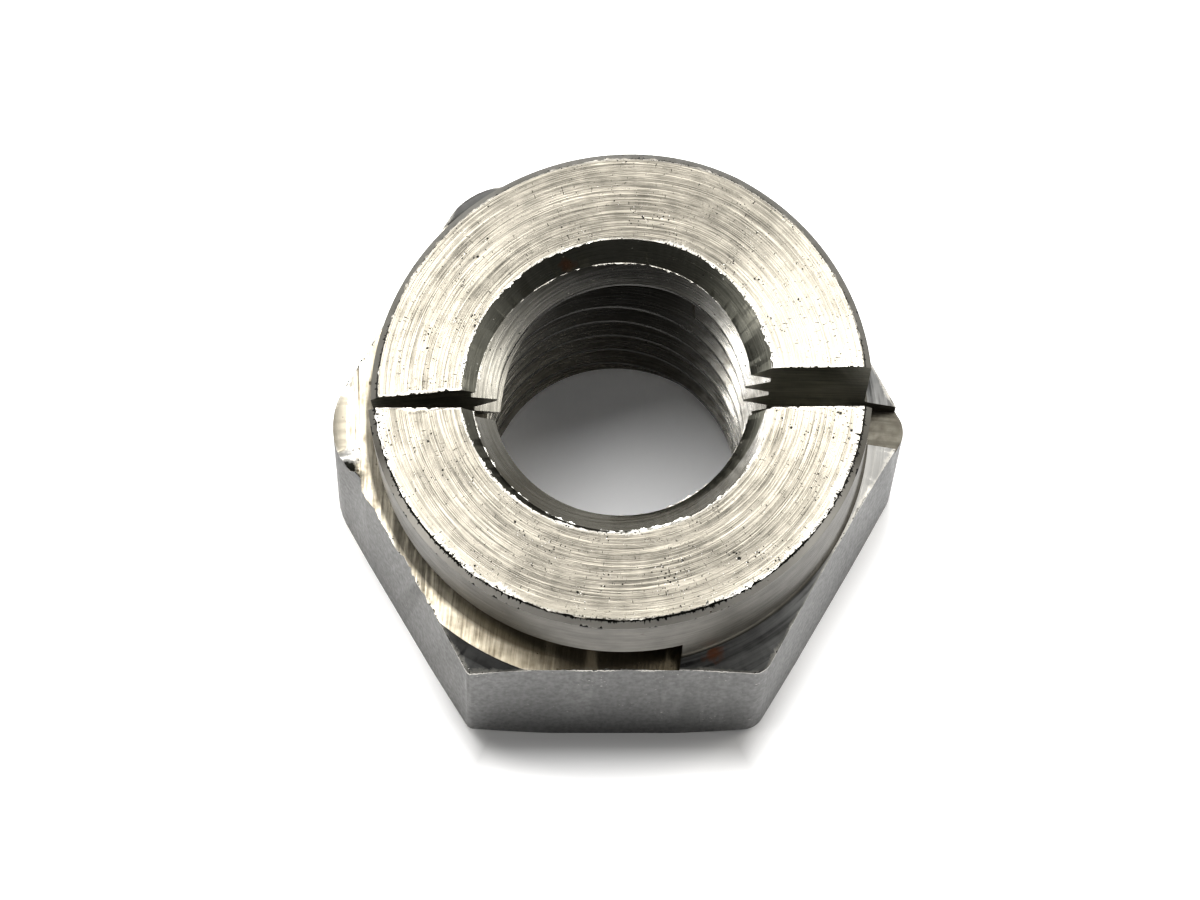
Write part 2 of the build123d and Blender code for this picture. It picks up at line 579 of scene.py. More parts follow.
# The torn place in the left edge: a burr and two holes, each a place and a size
TORN_MARKS = (
    ((-8.92, -1.20, 8.22), 0.50),
    ((-8.83, -1.48, 8.05), 0.65),
    ((-8.68, -1.90, 8.05), 0.65),
)


def empty_tree(owner):
    """Gives a material or a world an empty node tree."""
    owner.use_nodes = True
    owner.node_tree.nodes.clear()
    return owner.node_tree


def add(tree, kind, inputs=None, **settings):
    """Adds a shader node, sets it up and links or fills its inputs."""
    node = tree.nodes.new("ShaderNode" + kind)
    for key, value in settings.items():
        setattr(node, key, value)
    for key, value in (inputs or {}).items():
        if isinstance(value, bpy.types.NodeSocket):
            tree.links.new(value, node.inputs[key])
        else:
            node.inputs[key].default_value = value
    return node


def calc(tree, operation, *values):
    """One Math node; gives its output socket."""
    return add(tree, "Math", dict(enumerate(values)), operation=operation).outputs[0]


def product(tree, *values):
    """The values multiplied together."""
    result = values[0]
    for value in values[1:]:
        result = calc(tree, "MULTIPLY", result, value)
    return result


def spread(tree, value, low, high, new_low=0.0, new_high=1.0):
    """Maps a value from one range to another and holds it there."""
    inputs = {
        "Value": value, "From Min": low, "From Max": high, "To Min": new_low, "To Max": new_high
    }
    return add(tree, "MapRange", inputs, clamp=True).outputs["Result"]


def cloud(tree, place, scale, detail, rough=0.5):
    """Soft noise about 0.5."""
    inputs = {"Vector": place, "Scale": scale, "Detail": detail, "Roughness": rough}
    return add(tree, "TexNoise", inputs).outputs["Fac"]


def contrast_about_half(tree, value, contrast):
    """Spreads what lies within the contrast of 0.5 from 0 to 1."""
    low = calc(tree, "SUBTRACT", 0.5, contrast)
    return spread(tree, value, low, calc(tree, "ADD", 0.5, contrast))


def new_group(name, inputs, outputs):
    """An empty shader group with float inputs and outputs."""
    tree = bpy.data.node_groups.new(name, "ShaderNodeTree")
    for key, default in inputs.items():
        socket = tree.interface.new_socket(key, in_out="INPUT", socket_type="NodeSocketFloat")
        socket.default_value = default
    for key in outputs:
        tree.interface.new_socket(key, in_out="OUTPUT", socket_type="NodeSocketFloat")
    source = tree.nodes.new("NodeGroupInput")
    sink = tree.nodes.new("NodeGroupOutput")
    return tree, source.outputs, sink.inputs


def placed(tree, group, **values):
    """Places a group in a material or another group with its own values."""
    inputs = {key.replace("_", " "): value for key, value in values.items()}
    return add(tree, "Group", inputs, node_tree=bpy.data.node_groups[group]).outputs


def blend(tree, factor, first, second):
    """Mixes two colours by a factor."""
    pair = [(*tone, 1.0) if isinstance(tone, tuple) else tone for tone in (first, second)]
    inputs = {0: factor, 6: pair[0], 7: pair[1]}
    return add(tree, "Mix", inputs, data_type="RGBA").outputs[2]


def point(tree, *axes):
    """A place put together from X, Y and Z."""
    return add(tree, "CombineXYZ", dict(enumerate(axes))).outputs[0]


def stock_place(tree):
    """Where a point lay in the blank before the arms were set, in millimetres."""
    return add(tree, "Attribute", attribute_name="stock").outputs["Vector"]


def stock_axes(tree):
    """X, Y and Z of the place in the blank."""
    return add(tree, "SeparateXYZ", {0: stock_place(tree)}).outputs[:3]


def polar(tree, given):
    """X and Y from the given centre, and the distance from it."""
    axes = stock_axes(tree)
    x = calc(tree, "SUBTRACT", axes[0], given["Centre X"])
    y = calc(tree, "SUBTRACT", axes[1], given["Centre Y"])
    squares = calc(tree, "ADD", product(tree, x, x), product(tree, y, y))
    return x, y, calc(tree, "SQRT", squares)


def cutter_lines():
    """Fine lines that run round a cutter's centre: Lines go from 0 to 1."""
    tree, given, out = new_group(
        "Cutter lines",
        {"Centre X": 0.0, "Centre Y": 0.0, "Line Width": 0.1, "Reach": 6.0, "Contrast": 0.15},
        ("Lines",),
    )
    x, y, radius = polar(tree, given)
    height = stock_axes(tree)[2]
    along_x = product(tree, calc(tree, "DIVIDE", x, radius), given["Reach"])
    along_y = product(tree, calc(tree, "DIVIDE", y, radius), given["Reach"])
    across = calc(tree, "DIVIDE", calc(tree, "ADD", radius, height), given["Line Width"])
    lines = cloud(tree, point(tree, along_x, along_y, across), 1.0, 3.0, 0.6)
    tree.links.new(contrast_about_half(tree, lines, given["Contrast"]), out["Lines"])


def mottle():
    """Cloudy patches, drawn out in height: Patches go from 0 to 1."""
    tree, given, out = new_group(
        "Mottle", {"Patch Size": 1.0, "Height": 1.0, "Detail": 4.0, "Contrast": 0.2}, ("Patches",)
    )
    x, y, z = stock_axes(tree)
    place = point(tree, x, y, calc(tree, "DIVIDE", z, given["Height"]))
    scale = calc(tree, "DIVIDE", 1.0, given["Patch Size"])
    patches = cloud(tree, place, scale, given["Detail"])
    tree.links.new(contrast_about_half(tree, patches, given["Contrast"]), out["Patches"])


def pits():
    """Small pits in loose clusters: Pits are 1 inside a pit."""
    tree, given, out = new_group("Pits", {"Pit Size": 0.3, "Amount": 0.3}, ("Pits",))
    place = stock_place(tree)
    inputs = {"Vector": place, "Scale": calc(tree, "DIVIDE", 1.0, given["Pit Size"])}
    cells = add(tree, "TexVoronoi", inputs).outputs["Distance"]
    clusters = spread(tree, cloud(tree, place, 0.9, 5.0, 0.75), 0.42, 0.72)
    depth = calc(tree, "SUBTRACT", product(tree, clusters, given["Amount"]), cells)
    tree.links.new(spread(tree, depth, 0.0, 0.06), out["Pits"])


def ring_distance():
    """Distance from a circle, the place along it and the reach from its centre."""
    tree, given, out = new_group(
        "Ring distance", {"Centre X": 0.0, "Centre Y": 0.0, "Radius": 5.0},
        ("Gap", "Along X", "Along Y", "Reach"),
    )
    x, y, reach = polar(tree, given)
    gap = calc(tree, "ABSOLUTE", calc(tree, "SUBTRACT", reach, given["Radius"]))
    for axis, key in ((x, "Along X"), (y, "Along Y")):
        along = product(tree, calc(tree, "DIVIDE", axis, reach), given["Radius"])
        tree.links.new(along, out[key])
    tree.links.new(gap, out["Gap"])
    tree.links.new(reach, out["Reach"])


def nicks():
    """Short nicks across the tool marks: Nicks are 1 inside a nick."""
    tree, given, out = new_group(
        "Nicks", {"Nick Width": 0.05, "Nick Length": 0.2, "Amount": 0.3}, ("Nicks",)
    )
    ring = placed(tree, "Ring distance", Radius=7.0)
    width = calc(tree, "DIVIDE", 1.0, given["Nick Width"])
    along = [product(tree, ring[key], width) for key in ("Along X", "Along Y")]
    across = calc(tree, "DIVIDE", ring["Reach"], given["Nick Length"])
    comb = cloud(tree, point(tree, *along, across), 1.0, 2.0, 0.6)
    edge = calc(tree, "SUBTRACT", 0.85, given["Amount"])
    tree.links.new(spread(tree, calc(tree, "SUBTRACT", comb, edge), 0.0, 0.04), out["Nicks"])


def torn_rim():
    """The torn lip that a cutter leaves along a rim: Teeth bite into the face, Lip is bright."""
    tree, given, out = new_group(
        "Torn rim",
        {
            "Distance": 1.0, "Along X": 0.0, "Along Y": 0.0, "Tooth Width": 0.1,
            "Tooth Length": 0.2, "Line": 0.03, "Lip Width": 0.3, "Share": 1.0, "Lip Share": 1.0,
        },
        ("Teeth", "Lip"),
    )
    where = point(tree, given["Along X"], given["Along Y"])
    comb = cloud(tree, where, calc(tree, "DIVIDE", 1.0, given["Tooth Width"]), 2.0, 0.7)
    stretch = cloud(tree, where, 0.7, 2.0)
    tooth = product(tree, spread(tree, comb, 0.5, 0.72), spread(tree, stretch, 0.3, 0.65))
    tooth = product(tree, tooth, product(tree, given["Tooth Length"], given["Share"]))
    reach = calc(tree, "ADD", tooth, given["Line"])
    inside = calc(tree, "SUBTRACT", reach, given["Distance"])
    tree.links.new(spread(tree, inside, -0.008, 0.012), out["Teeth"])
    lip = product(
        tree, spread(tree, comb, 0.3, 0.6, 0.3, 1.0), given["Lip Width"],
        spread(tree, stretch, 0.42, 0.6, 0.15, 1.0), given["Lip Share"],
    )
    lip = calc(tree, "SUBTRACT", lip, given["Distance"])
    tree.links.new(spread(tree, lip, -0.05, 0.05), out["Lip"])


def stain():
    """A small stain round one point: Stain goes from 0 to 1."""
    tree, given, out = new_group(
        "Stain", {"Centre X": 0.0, "Centre Y": 0.0, "Centre Z": 0.0, "Size": 0.5}, ("Stain",)
    )
    centre = point(tree, *(given[key] for key in ("Centre X", "Centre Y", "Centre Z")))
    place = stock_place(tree)
    gap = add(tree, "VectorMath", {0: place, 1: centre}, operation="DISTANCE")
    ragged = spread(tree, cloud(tree, place, 2.5, 4.0), 0.3, 0.7, 0.4, 1.5)
    share = calc(tree, "DIVIDE", gap.outputs["Value"], product(tree, given["Size"], ragged))
    tree.links.new(spread(tree, share, 1.0, 0.35), out["Stain"])


def flat_distance():
    """How far out a place lies: square to the slanted flats, and to the nearest flat."""
    tree, given, out = new_group("Flat distance", {"X": 0.0, "Y": 0.0}, ("Slanted", "Reach"))
    x, y = (calc(tree, "ABSOLUTE", given[key]) for key in ("X", "Y"))
    slanted = calc(tree, "MULTIPLY_ADD", x, math.sqrt(0.75), product(tree, y, 0.5))
    tree.links.new(slanted, out["Slanted"])
    tree.links.new(calc(tree, "MAXIMUM", slanted, y), out["Reach"])


def sector(tree, x, y, start, end, soft=8.0):
    """1 between two directions round the bore, in degrees, with soft ends."""
    angle = calc(tree, "ARCTAN2", y, x)
    start, end, soft = (math.radians(value) for value in (start, end, soft))
    rise = spread(tree, angle, start - soft, start)
    return product(tree, rise, spread(tree, angle, end, end + soft, 1.0, 0.0))


def chewed_rim():
    """How much of the outer rim is chewed: the front left most, then the front right."""
    tree, _, out = new_group("Chewed rim", {}, ("Share",))
    x, y, _ = stock_axes(tree)
    left = sector(tree, x, y, *CHEWED_LEFT)
    right = product(tree, sector(tree, x, y, *CHEWED_RIGHT), CHEWED_RIGHT_SHARE)
    tree.links.new(calc(tree, "MAXIMUM", left, right), out["Share"])


def torn_hole():
    """The torn place in the left edge: a dark Hole with a bright Burr round it."""
    tree, _, out = new_group("Torn hole", {}, ("Burr", "Hole"))
    burr, *holes = (
        placed(tree, "Stain", Centre_X=x, Centre_Y=y, Centre_Z=z, Size=size)["Stain"]
        for (x, y, z), size in TORN_MARKS
    )
    tree.links.new(burr, out["Burr"])
    tree.links.new(calc(tree, "MAXIMUM", *holes), out["Hole"])


def slot_distance(tree, x, y):
    """Distance from the slot's nearer rim, and the place along it."""
    turn = math.radians(SLOT_TURN)
    rise = product(tree, calc(tree, "SUBTRACT", y, SLOT_Y), math.cos(turn))
    offset = calc(tree, "SUBTRACT", rise, product(tree, x, math.sin(turn)))
    gap = calc(tree, "SUBTRACT", calc(tree, "ABSOLUTE", offset), SAW_WIDTH / 2)
    return calc(tree, "ABSOLUTE", gap), x, calc(tree, "SIGN", offset)


class Steel:
    """One finish of the nut's steel, built up in layers of colour and height."""

    def __init__(self, name):
        self.tree = empty_tree(material_named(name))
        self.axes = stock_axes(self.tree)

    def base(
        self, dark, light, line, reach=6.0, centre=(0.0, 0.0), contrast=0.15, coarse=3.0,
        shares=(0.45, 0.3, 0.25), patch=1.2, height=1.0,
    ):
        """Fine and coarse tool lines and cloudy patches between two tones."""
        tree = self.tree
        same = {"Centre_X": centre[0], "Centre_Y": centre[1], "Contrast": contrast}
        fine = placed(tree, "Cutter lines", Line_Width=line, Reach=reach, **same)
        broad = placed(tree, "Cutter lines", Line_Width=line * coarse, Reach=reach * 0.4, **same)
        patches = placed(tree, "Mottle", Patch_Size=patch, Height=height, Contrast=0.18)
        found = (fine["Lines"], broad["Lines"], patches["Patches"])
        parts = [product(tree, part, share) for part, share in zip(found, shares)]
        self.height = calc(tree, "ADD", parts[0], parts[1])
        self.tone = calc(tree, "ADD", self.height, parts[2])
        self.colour = blend(tree, self.tone, dark, light)

    def fade(self, value, start, end, most=1.0):
        """A mask that grows from 0 at the start to the most at the end."""
        return spread(self.tree, value, start, end, 0.0, most)

    def where(self, *masks):
        """The place where all the masks are."""
        return product(self.tree, *masks)

    def cover(self, mask, colour, depth=0.0):
        """Lays a colour over the mask, sunk by a depth."""
        self.colour = blend(self.tree, mask, self.colour, colour)
        if depth:
            self.height = calc(self.tree, "SUBTRACT", self.height, self.where(mask, depth))

    def tint(self, colour, most, *masks, **ends):
        """Lays a colour over the masks, fading in between the two ends on each named axis."""
        axes = dict(zip("xyz", self.axes))
        for axis, (start, end) in ends.items():
            value = self.from_axis() if axis == "reach" else axes[axis]
            masks = (*masks, self.fade(value, start, end))
        self.cover(self.where(most, *masks), colour)

    def nick(self, width, length, amount):
        """Dark nicks across the tool marks."""
        mask = placed(self.tree, "Nicks", Nick_Width=width, Nick_Length=length, Amount=amount)
        self.cover(mask["Nicks"], NICK_DARK, CUT_DEPTH)

    def pit(self, size, amount, colour=PIT_DARK):
        """Pits over the finish."""
        mask = placed(self.tree, "Pits", Pit_Size=size, Amount=amount)["Pits"]
        self.cover(mask, colour, PIT_DEPTH)

    def rust(self, place, size, strength):
        """A rust stain round one point."""
        x, y, z = place
        mask = placed(self.tree, "Stain", Centre_X=x, Centre_Y=y, Centre_Z=z, Size=size)
        self.cover(self.where(mask["Stain"], strength), RUST)

    def tear(self):
        """The torn place in the left edge."""
        torn = placed(self.tree, "Torn hole")
        self.cover(torn["Burr"], BURR_BRIGHT, TEAR_DEPTH)
        self.cover(torn["Hole"], HOLE_DARK, TEAR_DEPTH)

    def patches(self, size):
        """Rough cloudy patches."""
        return placed(self.tree, "Mottle", Patch_Size=size)["Patches"]

    def from_axis(self):
        """Distance from the thread's axis."""
        return placed(self.tree, "Ring distance")["Reach"]

    def flat_edge(self):
        """Distance from the nearest flat, and the place along it."""
        x, y, _ = self.axes
        reach = placed(self.tree, "Flat distance", X=x, Y=y)["Reach"]
        return calc(self.tree, "SUBTRACT", ACROSS_FLATS / 2, reach), x, y

    def ring(self, radius, centre=(0.0, 0.0)):
        """Distance from a circle, and the place along it."""
        values = {"Centre_X": centre[0], "Centre_Y": centre[1], "Radius": radius}
        found = placed(self.tree, "Ring distance", **values)
        return found["Gap"], found["Along X"], found["Along Y"]

    def rim(self, distance, tooth=(0.1, 0.2), line=0.03, lip=0.3, share=1.0, lip_share=1.0):
        """The torn lip along one rim."""
        gap, along_x, along_y = distance
        torn = placed(
            self.tree, "Torn rim", Distance=gap, Along_X=along_x, Along_Y=along_y,
            Tooth_Width=tooth[0], Tooth_Length=tooth[1], Line=line, Lip_Width=lip, Share=share,
            Lip_Share=lip_share,
        )
        if lip:
            self.cover(self.where(torn["Lip"], LIP_STRENGTH), LIP_BRIGHT)
        self.cover(torn["Teeth"], TOOTH_DARK, CUT_DEPTH)

    def finish(self, rough, along=0.0, bump=0.3):
        """Ends the material in a metal shader, its gloss drawn out across the tool marks."""
        tree = self.tree
        roughness = spread(
            tree, self.tone, 0.0, 1.0, rough + ROUGH_SPREAD / 2, rough - ROUGH_SPREAD / 2
        )
        bump = {"Strength": bump, "Distance": BUMP_DEPTH, "Height": self.height}
        inputs = {
            "Base Color": self.colour, "Metallic": 1.0, "Roughness": roughness,
            "Normal": add(tree, "Bump", bump).outputs["Normal"], "Anisotropic": along,
        }
        if along:
            tangent = add(tree, "Tangent", direction_type="UV_MAP", uv_map="tool_path")
            inputs["Tangent"] = tangent.outputs[0]
        shader = add(tree, "BsdfPrincipled", inputs)
        add(tree, "OutputMaterial", {"Surface": shader.outputs[0]})


def shade(colour, share):
    """A darker or lighter tone of one colour."""
    return tuple(share * value for value in colour)


def turned_face(bright):
    """The top face: fine rings, nicks across them, and torn rims on three sides."""
    steel = Steel("turned_face")
    tree, (x, y, _) = steel.tree, steel.axes
    steel.base(
        shade(bright, 0.15), shade(bright, 0.99), 0.032, reach=2.2, coarse=3.4, contrast=0.11,
        shares=(0.52, 0.24, 0.24), patch=0.6,
    )
    outside = steel.ring(RIM_R)
    steel.tint(shade(bright, 1.3), 0.35, spread(tree, outside[0], 0.55, 0.2), y=(0.0, -4.0))
    # Painted highlight: a lighter sector at the right stands in for the lamps' highlight on the
    # turned rings
    steel.tint(shade(bright, 1.5), 0.3, sector(tree, x, y, 0.0, 34.0, soft=14.0))
    # Painted shade: a darker sector at the rear right
    steel.tint(shade(bright, 0.2), 0.16, sector(tree, x, y, 52.0, 82.0, soft=14.0))
    steel.nick(width=0.05, length=0.20, amount=0.175)
    steel.pit(size=0.13, amount=0.36)
    steel.pit(size=0.34, amount=0.26)
    steel.pit(size=0.10, amount=0.26, colour=BURR_BRIGHT)
    steel.rim(slot_distance(tree, x, y), tooth=(0.16, 0.12), line=-0.012, lip=0.12)
    chewed = placed(tree, "Chewed rim")["Share"]
    teeth = calc(tree, "MAXIMUM", chewed, spread(tree, y, 1.0, -3.0, 0.2, 0.35))
    steel.rim(outside, tooth=(0.07, 0.26), line=0.004, lip=0.34, share=teeth, lip_share=chewed)
    flecked = sector(tree, x, y, 12.0, 78.0)
    flecked = calc(tree, "MAXIMUM", flecked, spread(tree, y, -1.0, -3.0, 0.45, 0.55))
    inside = steel.ring(MOUTH_R, MOUTH_SHIFT)
    steel.rim(inside, tooth=(0.07, 0.20), line=-0.005, lip=0.16, share=flecked, lip_share=flecked)
    steel.finish(rough=0.42, along=0.85, bump=0.5)


def collar_side(bright):
    """The collar's wall and its broken top edge, with painted shade on the edge behind and a
    painted highlight on it in front.
    """
    steel = Steel("collar_side")
    tree, (_, y, z) = steel.tree, steel.axes
    steel.base(
        shade(bright, 0.105), shade(bright, 0.29), 0.08, reach=4.0, patch=0.8,
        shares=(0.3, 0.3, 0.4),
    )
    below = calc(tree, "SUBTRACT", FACE_Z, z)
    chamfer = spread(tree, below, COLLAR_CHAMFER + 0.03, COLLAR_CHAMFER - 0.02)
    # Painted shade on the chamfer behind and a painted highlight on it in front
    steel.tint(SHADED, 0.8, chamfer, y=(-3.0, -1.0))
    steel.tint((0.80, 0.77, 0.70), 0.6, chamfer, y=(-2.5, -5.5))
    _, along_x, along_y = steel.ring(COLLAR_R)
    # A painted dark line under the top edge, widest in front, stands in for the dark that the steep
    # edge reflects
    painted_dark_line = steel.fade(y, 4.0, 1.0, 0.06)
    steel.rim((below, along_x, along_y), tooth=(0.10, 0.14), line=painted_dark_line, lip=0.0)
    below = calc(tree, "ABSOLUTE", calc(tree, "SUBTRACT", below, COLLAR_CHAMFER + 0.02))
    steel.rim((below, along_x, along_y), tooth=(0.4, 0.16), line=-0.02, lip=0.0)
    steel.pit(size=0.3, amount=0.26, colour=(0.05, 0.035, 0.025))
    steel.finish(rough=0.38, along=0.4, bump=0.3)


def mouth():
    """The cone at the bore's mouth, with dark brown painted shade in front and painted shade on its
    outer band at the left.
    """
    steel = Steel("mouth")
    steel.base((0.10, 0.10, 0.08), (0.34, 0.335, 0.28), 0.07, reach=4.0, patch=0.5)
    steel.pit(size=0.2, amount=0.24, colour=(0.9, 0.88, 0.8))
    steel.pit(size=0.3, amount=0.26)
    # Painted shade in front and on the outer band at the left
    steel.tint((0.05, 0.045, 0.033), 0.6, y=(-1.0, -3.2))
    steel.tint((0.07, 0.068, 0.055), 0.6, x=(-1.0, -3.0), reach=(4.62, 4.72))
    steel.rust((-1.75, 4.7, 12.1), size=0.4, strength=0.6)
    steel.finish(rough=0.30, along=0.3, bump=0.3)


def thread():
    """The thread: painted highlights at the right, painted shade at the left, in front, deep down
    and on the crests at the rear.
    """
    steel = Steel("thread")
    tree, (_, y, _) = steel.tree, steel.axes
    steel.base(
        (0.22, 0.21, 0.18), (0.70, 0.68, 0.62), 0.09, reach=2.0, contrast=0.09,
        shares=(0.4, 0.3, 0.3), patch=0.5,
    )
    # Painted highlights: bright patches at the right stand in for lamp reflections on the flanks
    steel.tint((0.97, 0.95, 0.90), 1.0, steel.patches(0.45), x=(2.0, 3.6))
    # Painted shade at the left
    steel.tint((0.10, 0.098, 0.085), 0.66, x=(-1.0, -3.4))
    steel.pit(size=0.25, amount=0.24)
    # Painted shade deep in the bore, most at the rear, and on the crests at the rear
    steel.tint(SHUT_IN, 0.75, spread(tree, y, 1.8, 3.4, 0.15, 1.0), z=(11.6, 9.4))
    steel.tint(SHUT_IN, 0.75, y=(1.0, 2.5), reach=(THREAD_R + 0.03, THREAD_R + 0.01))
    # Painted shade in front
    steel.tint((0.085, 0.078, 0.06), 0.8, y=(-1.0, -3.2))
    steel.finish(rough=0.28, along=0.4, bump=0.35)


def sawn_floor():
    """The level cut's floor: arcs of the saw, painted shade under the collar and towards the hinge,
    torn at its edge.
    """
    steel = Steel("sawn_floor")
    tree, (x, _, _) = steel.tree, steel.axes
    steel.base(
        (0.17, 0.14, 0.095), (0.90, 0.82, 0.65), 0.10, reach=30.0,
        centre=(SAW_END_X - SAW_DISC_R, 0.0), contrast=0.12, shares=(0.35, 0.15, 0.5), patch=0.4,
    )
    steel.pit(size=0.3, amount=0.34, colour=(0.12, 0.10, 0.07))
    edge = steel.flat_edge()
    steel.tint((0.20, 0.18, 0.14), 0.6, spread(tree, edge[0], 0.7, 0.1), y=(-0.6, 0.8))
    torn = spread(tree, x, -4.0, -6.0, 0.2, 1.0)
    steel.rim(edge, tooth=(0.22, 0.30), line=-0.02, lip=0.14, share=torn)
    # Painted shade: near black under the collar, and where the floor runs on towards the hinge
    under = steel.fade(steel.from_axis(), COLLAR_R + 0.12, COLLAR_R - 0.05)
    painted_gap_shade = calc(tree, "MAXIMUM", under, steel.fade(x, -3.4, -1.6))
    steel.cover(steel.where(painted_gap_shade, 0.88), (0.03, 0.028, 0.022))
    steel.tint((0.13, 0.105, 0.065), 0.55, x=(-6.0, -4.0), y=(-5.0, -6.5))
    steel.tear()
    steel.finish(rough=0.42, along=0.85, bump=0.8)


def slot_wall():
    """The upright slot's walls and floor, with patchy painted shade low down at their outer end at
    the right.
    """
    steel = Steel("slot_wall")
    steel.base((0.08, 0.08, 0.065), (0.30, 0.29, 0.24), 0.1, reach=40.0, centre=(0.0, -60.0))
    steel.pit(size=0.3, amount=0.2)
    # Painted shade in patches, low down at the slot's outer end at the right
    rough = spread(steel.tree, steel.patches(0.3), 0.0, 1.0, 0.7, 1.0)
    steel.tint((0.06, 0.054, 0.043), 1.0, rough, x=(7.6, 8.0), z=(8.6, 8.2))
    steel.finish(rough=0.4, bump=0.3)


def flats(dull):
    """The six flats: dull drawn bar, with painted shade at the foot in front and on the left flats,
    and a torn top edge.
    """
    steel = Steel("flats")
    tree, (x, y, z) = steel.tree, steel.axes
    steel.base(
        shade(dull, 0.36), shade(dull, 0.59), 0.35, reach=3.0, shares=(0.02, 0.02, 0.96),
        patch=0.15, height=2.0,
    )
    steel.pit(size=0.35, amount=0.28, colour=(0.04, 0.035, 0.03))
    steel.pit(size=0.25, amount=0.28, colour=(0.4, 0.39, 0.37))
    # Painted shade at the foot of the front flats, and on the left flats
    steel.tint((0.03, 0.03, 0.03), 0.65, y=(-6.0, -8.2), z=(4.5, 0.0))
    steel.tint((0.04, 0.036, 0.025), 0.45, x=(-4.6, -5.4))
    cone = calc(tree, "MULTIPLY_ADD", steel.from_axis(), -TAN30, SHOULDER_CONE_Z)
    sawn = spread(tree, x, SAW_END_X - 0.1, SAW_END_X, SAW_FLOOR_Z, ABOVE_CONE_Z)
    gap = calc(tree, "SUBTRACT", calc(tree, "MINIMUM", cone, sawn), z)
    gap = calc(tree, "ABSOLUTE", gap)
    steel.rim((gap, x, y), tooth=(0.16, 0.24), line=0.012, lip=0.2)
    steel.tear()
    steel.finish(rough=0.42, bump=0.3)


def shoulder(dull):
    """The cone that takes off the hexagon's corners: turned, pale at the left corner, a painted
    highlight at the right corner, one rusty.
    """
    steel = Steel("shoulder")
    steel.base(
        shade(dull, 0.12), shade(dull, 2.1), 0.13, reach=1.3, contrast=0.09, shares=(0.6, 0.2, 0.2),
        patch=0.5,
    )
    steel.tint((0.64, 0.585, 0.47), 0.8, x=(-7.6, -8.4))
    steel.tint((0.12, 0.11, 0.085), 0.65, x=(-7.6, -8.4), reach=(9.1, 9.4))
    steel.tint(SHUT_IN, 0.6, x=(-3.0, -4.0), y=(5.5, 6.5))
    # Painted highlight on the front side of the right corner
    steel.tint((0.55, 0.54, 0.51), 0.6, x=(6.4, 7.8), y=(-0.4, -1.0))
    steel.rim(steel.flat_edge(), tooth=(0.16, 0.14), line=-0.03, lip=0.14)
    steel.tear()
    steel.rust((3.2, -8.0, 8.6), size=0.5, strength=0.75)
    steel.pit(size=0.3, amount=0.2)
    steel.finish(rough=0.35, along=0.4, bump=0.35)


def bearing_face(bright):
    """The underside, turned in coarser rings."""
    steel = Steel("bearing_face")
    steel.base(shade(bright, 0.45), shade(bright, 0.85), 0.07, reach=3.0, coarse=4.0)
    steel.pit(size=0.3, amount=0.25)
    steel.finish(rough=0.4, along=0.7, bump=0.35)


def burr():
    """The burrs along the rims: bright, but darker where the rim is whole."""
    steel = Steel("burr")
    steel.base((0.06, 0.055, 0.045), (0.95, 0.93, 0.87), 0.16, reach=40.0, contrast=0.05)
    whole = calc(steel.tree, "SUBTRACT", 1.0, placed(steel.tree, "Chewed rim")["Share"])
    steel.tint(BURR_DARK, 0.85, whole, z=(11.0, 11.5), reach=(7.2, 7.6))
    steel.tint(SHADED, 1.0, z=(8.2, 8.1), reach=(8.95, 9.05))
    steel.tint(BURR_DARK, 0.75, z=(12.4, 12.3), reach=(5.0, 4.9))
    steel.finish(rough=0.32, bump=0.3)


def make_finishes(finish):
    """Builds the shared groups, each before those that place it, and every zone's finish."""
    effects = (cutter_lines, mottle, pits, ring_distance, nicks, torn_rim, stain)
    for group in (*effects, flat_distance, chewed_rim, torn_hole):
        group()
    bright, dull = tuple(finish.bright), tuple(finish.dull)
    for material in (turned_face, collar_side, bearing_face):
        material(bright)
    for material in (flats, shoulder):
        material(dull)
    for material in (mouth, thread, sawn_floor, slot_wall, burr):
        material()


# ---- operators


class MESH_OT_lock_nut(bpy.types.Operator):
    """Make the nut: turn, tap and saw the blank, raise its burrs and set its arms"""

    bl_idname = "mesh.lock_nut"
    bl_label = "Lock nut"

    def execute(self, context):
        sizes = context.scene.nut_sizes
        make_finishes(context.scene.nut_finish)
        draw = random.Random(sizes.seed)
        bm = machined(
            turned_blank(),
            (
                ("INTERSECT", hexagon_bar()),
                ("DIFFERENCE", thread_ridge(sizes.pitch / MM)),
                ("DIFFERENCE", saw_disc()),
                ("DIFFERENCE", slot_saw()),
            ),
        )
        raise_burrs(bm, sizes.burr / MM, draw)
        cut_hinges(bm)
        mark_stock(bm)
        set_arms(bm)
        finish_mesh(bm)
        tool_paths(bm)
        bmesh.ops.scale(bm, verts=bm.verts, vec=(MM, MM, MM))
        nut = as_object(bm, "lock_nut")
        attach(nut, "root")
        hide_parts(NODE)
        return {"FINISHED"}


class MESH_OT_nut_stage(bpy.types.Operator):
    """Set the table, the soft lamps and the camera"""

    bl_idname = "mesh.nut_stage"
    bl_label = "Stage"

    def execute(self, context):
        make_floor()
        make_sky(context.scene)
        make_lamps()
        make_camera(context.scene)
        return {"FINISHED"}


# The table top: its size and tones, and how far out, in millimetres, the shadow painted into its
# colour round the foot fades away and the eye begins to see it white
TABLE_R = 1.5
TABLE_TONES = (0.96, 0.98)
FOOT_SHADOW_TONE = 0.45
FOOT_FADE = (9.4, 8.0)
FOOT_FADE_Y = (-5.5, -8.0)
WHITE_FADE = (8.25, 9.6)
FLOOR_LIFT = 0.6
# HOLE_LIFT is a faint painted glow on the floor inside the foot, seen through the bore
HOLE_LIFT = 0.02
GLOSSY_LIFT = 0.5
# The front flat counts as a little nearer than the slanted ones
FRONT_SHARE = 0.92


def fade_mm(tree, value, ends, low=0.0, high=1.0):
    """Maps a length in metres between two ends in millimetres."""
    return spread(tree, value, ends[0] * MM, ends[1] * MM, low, high)


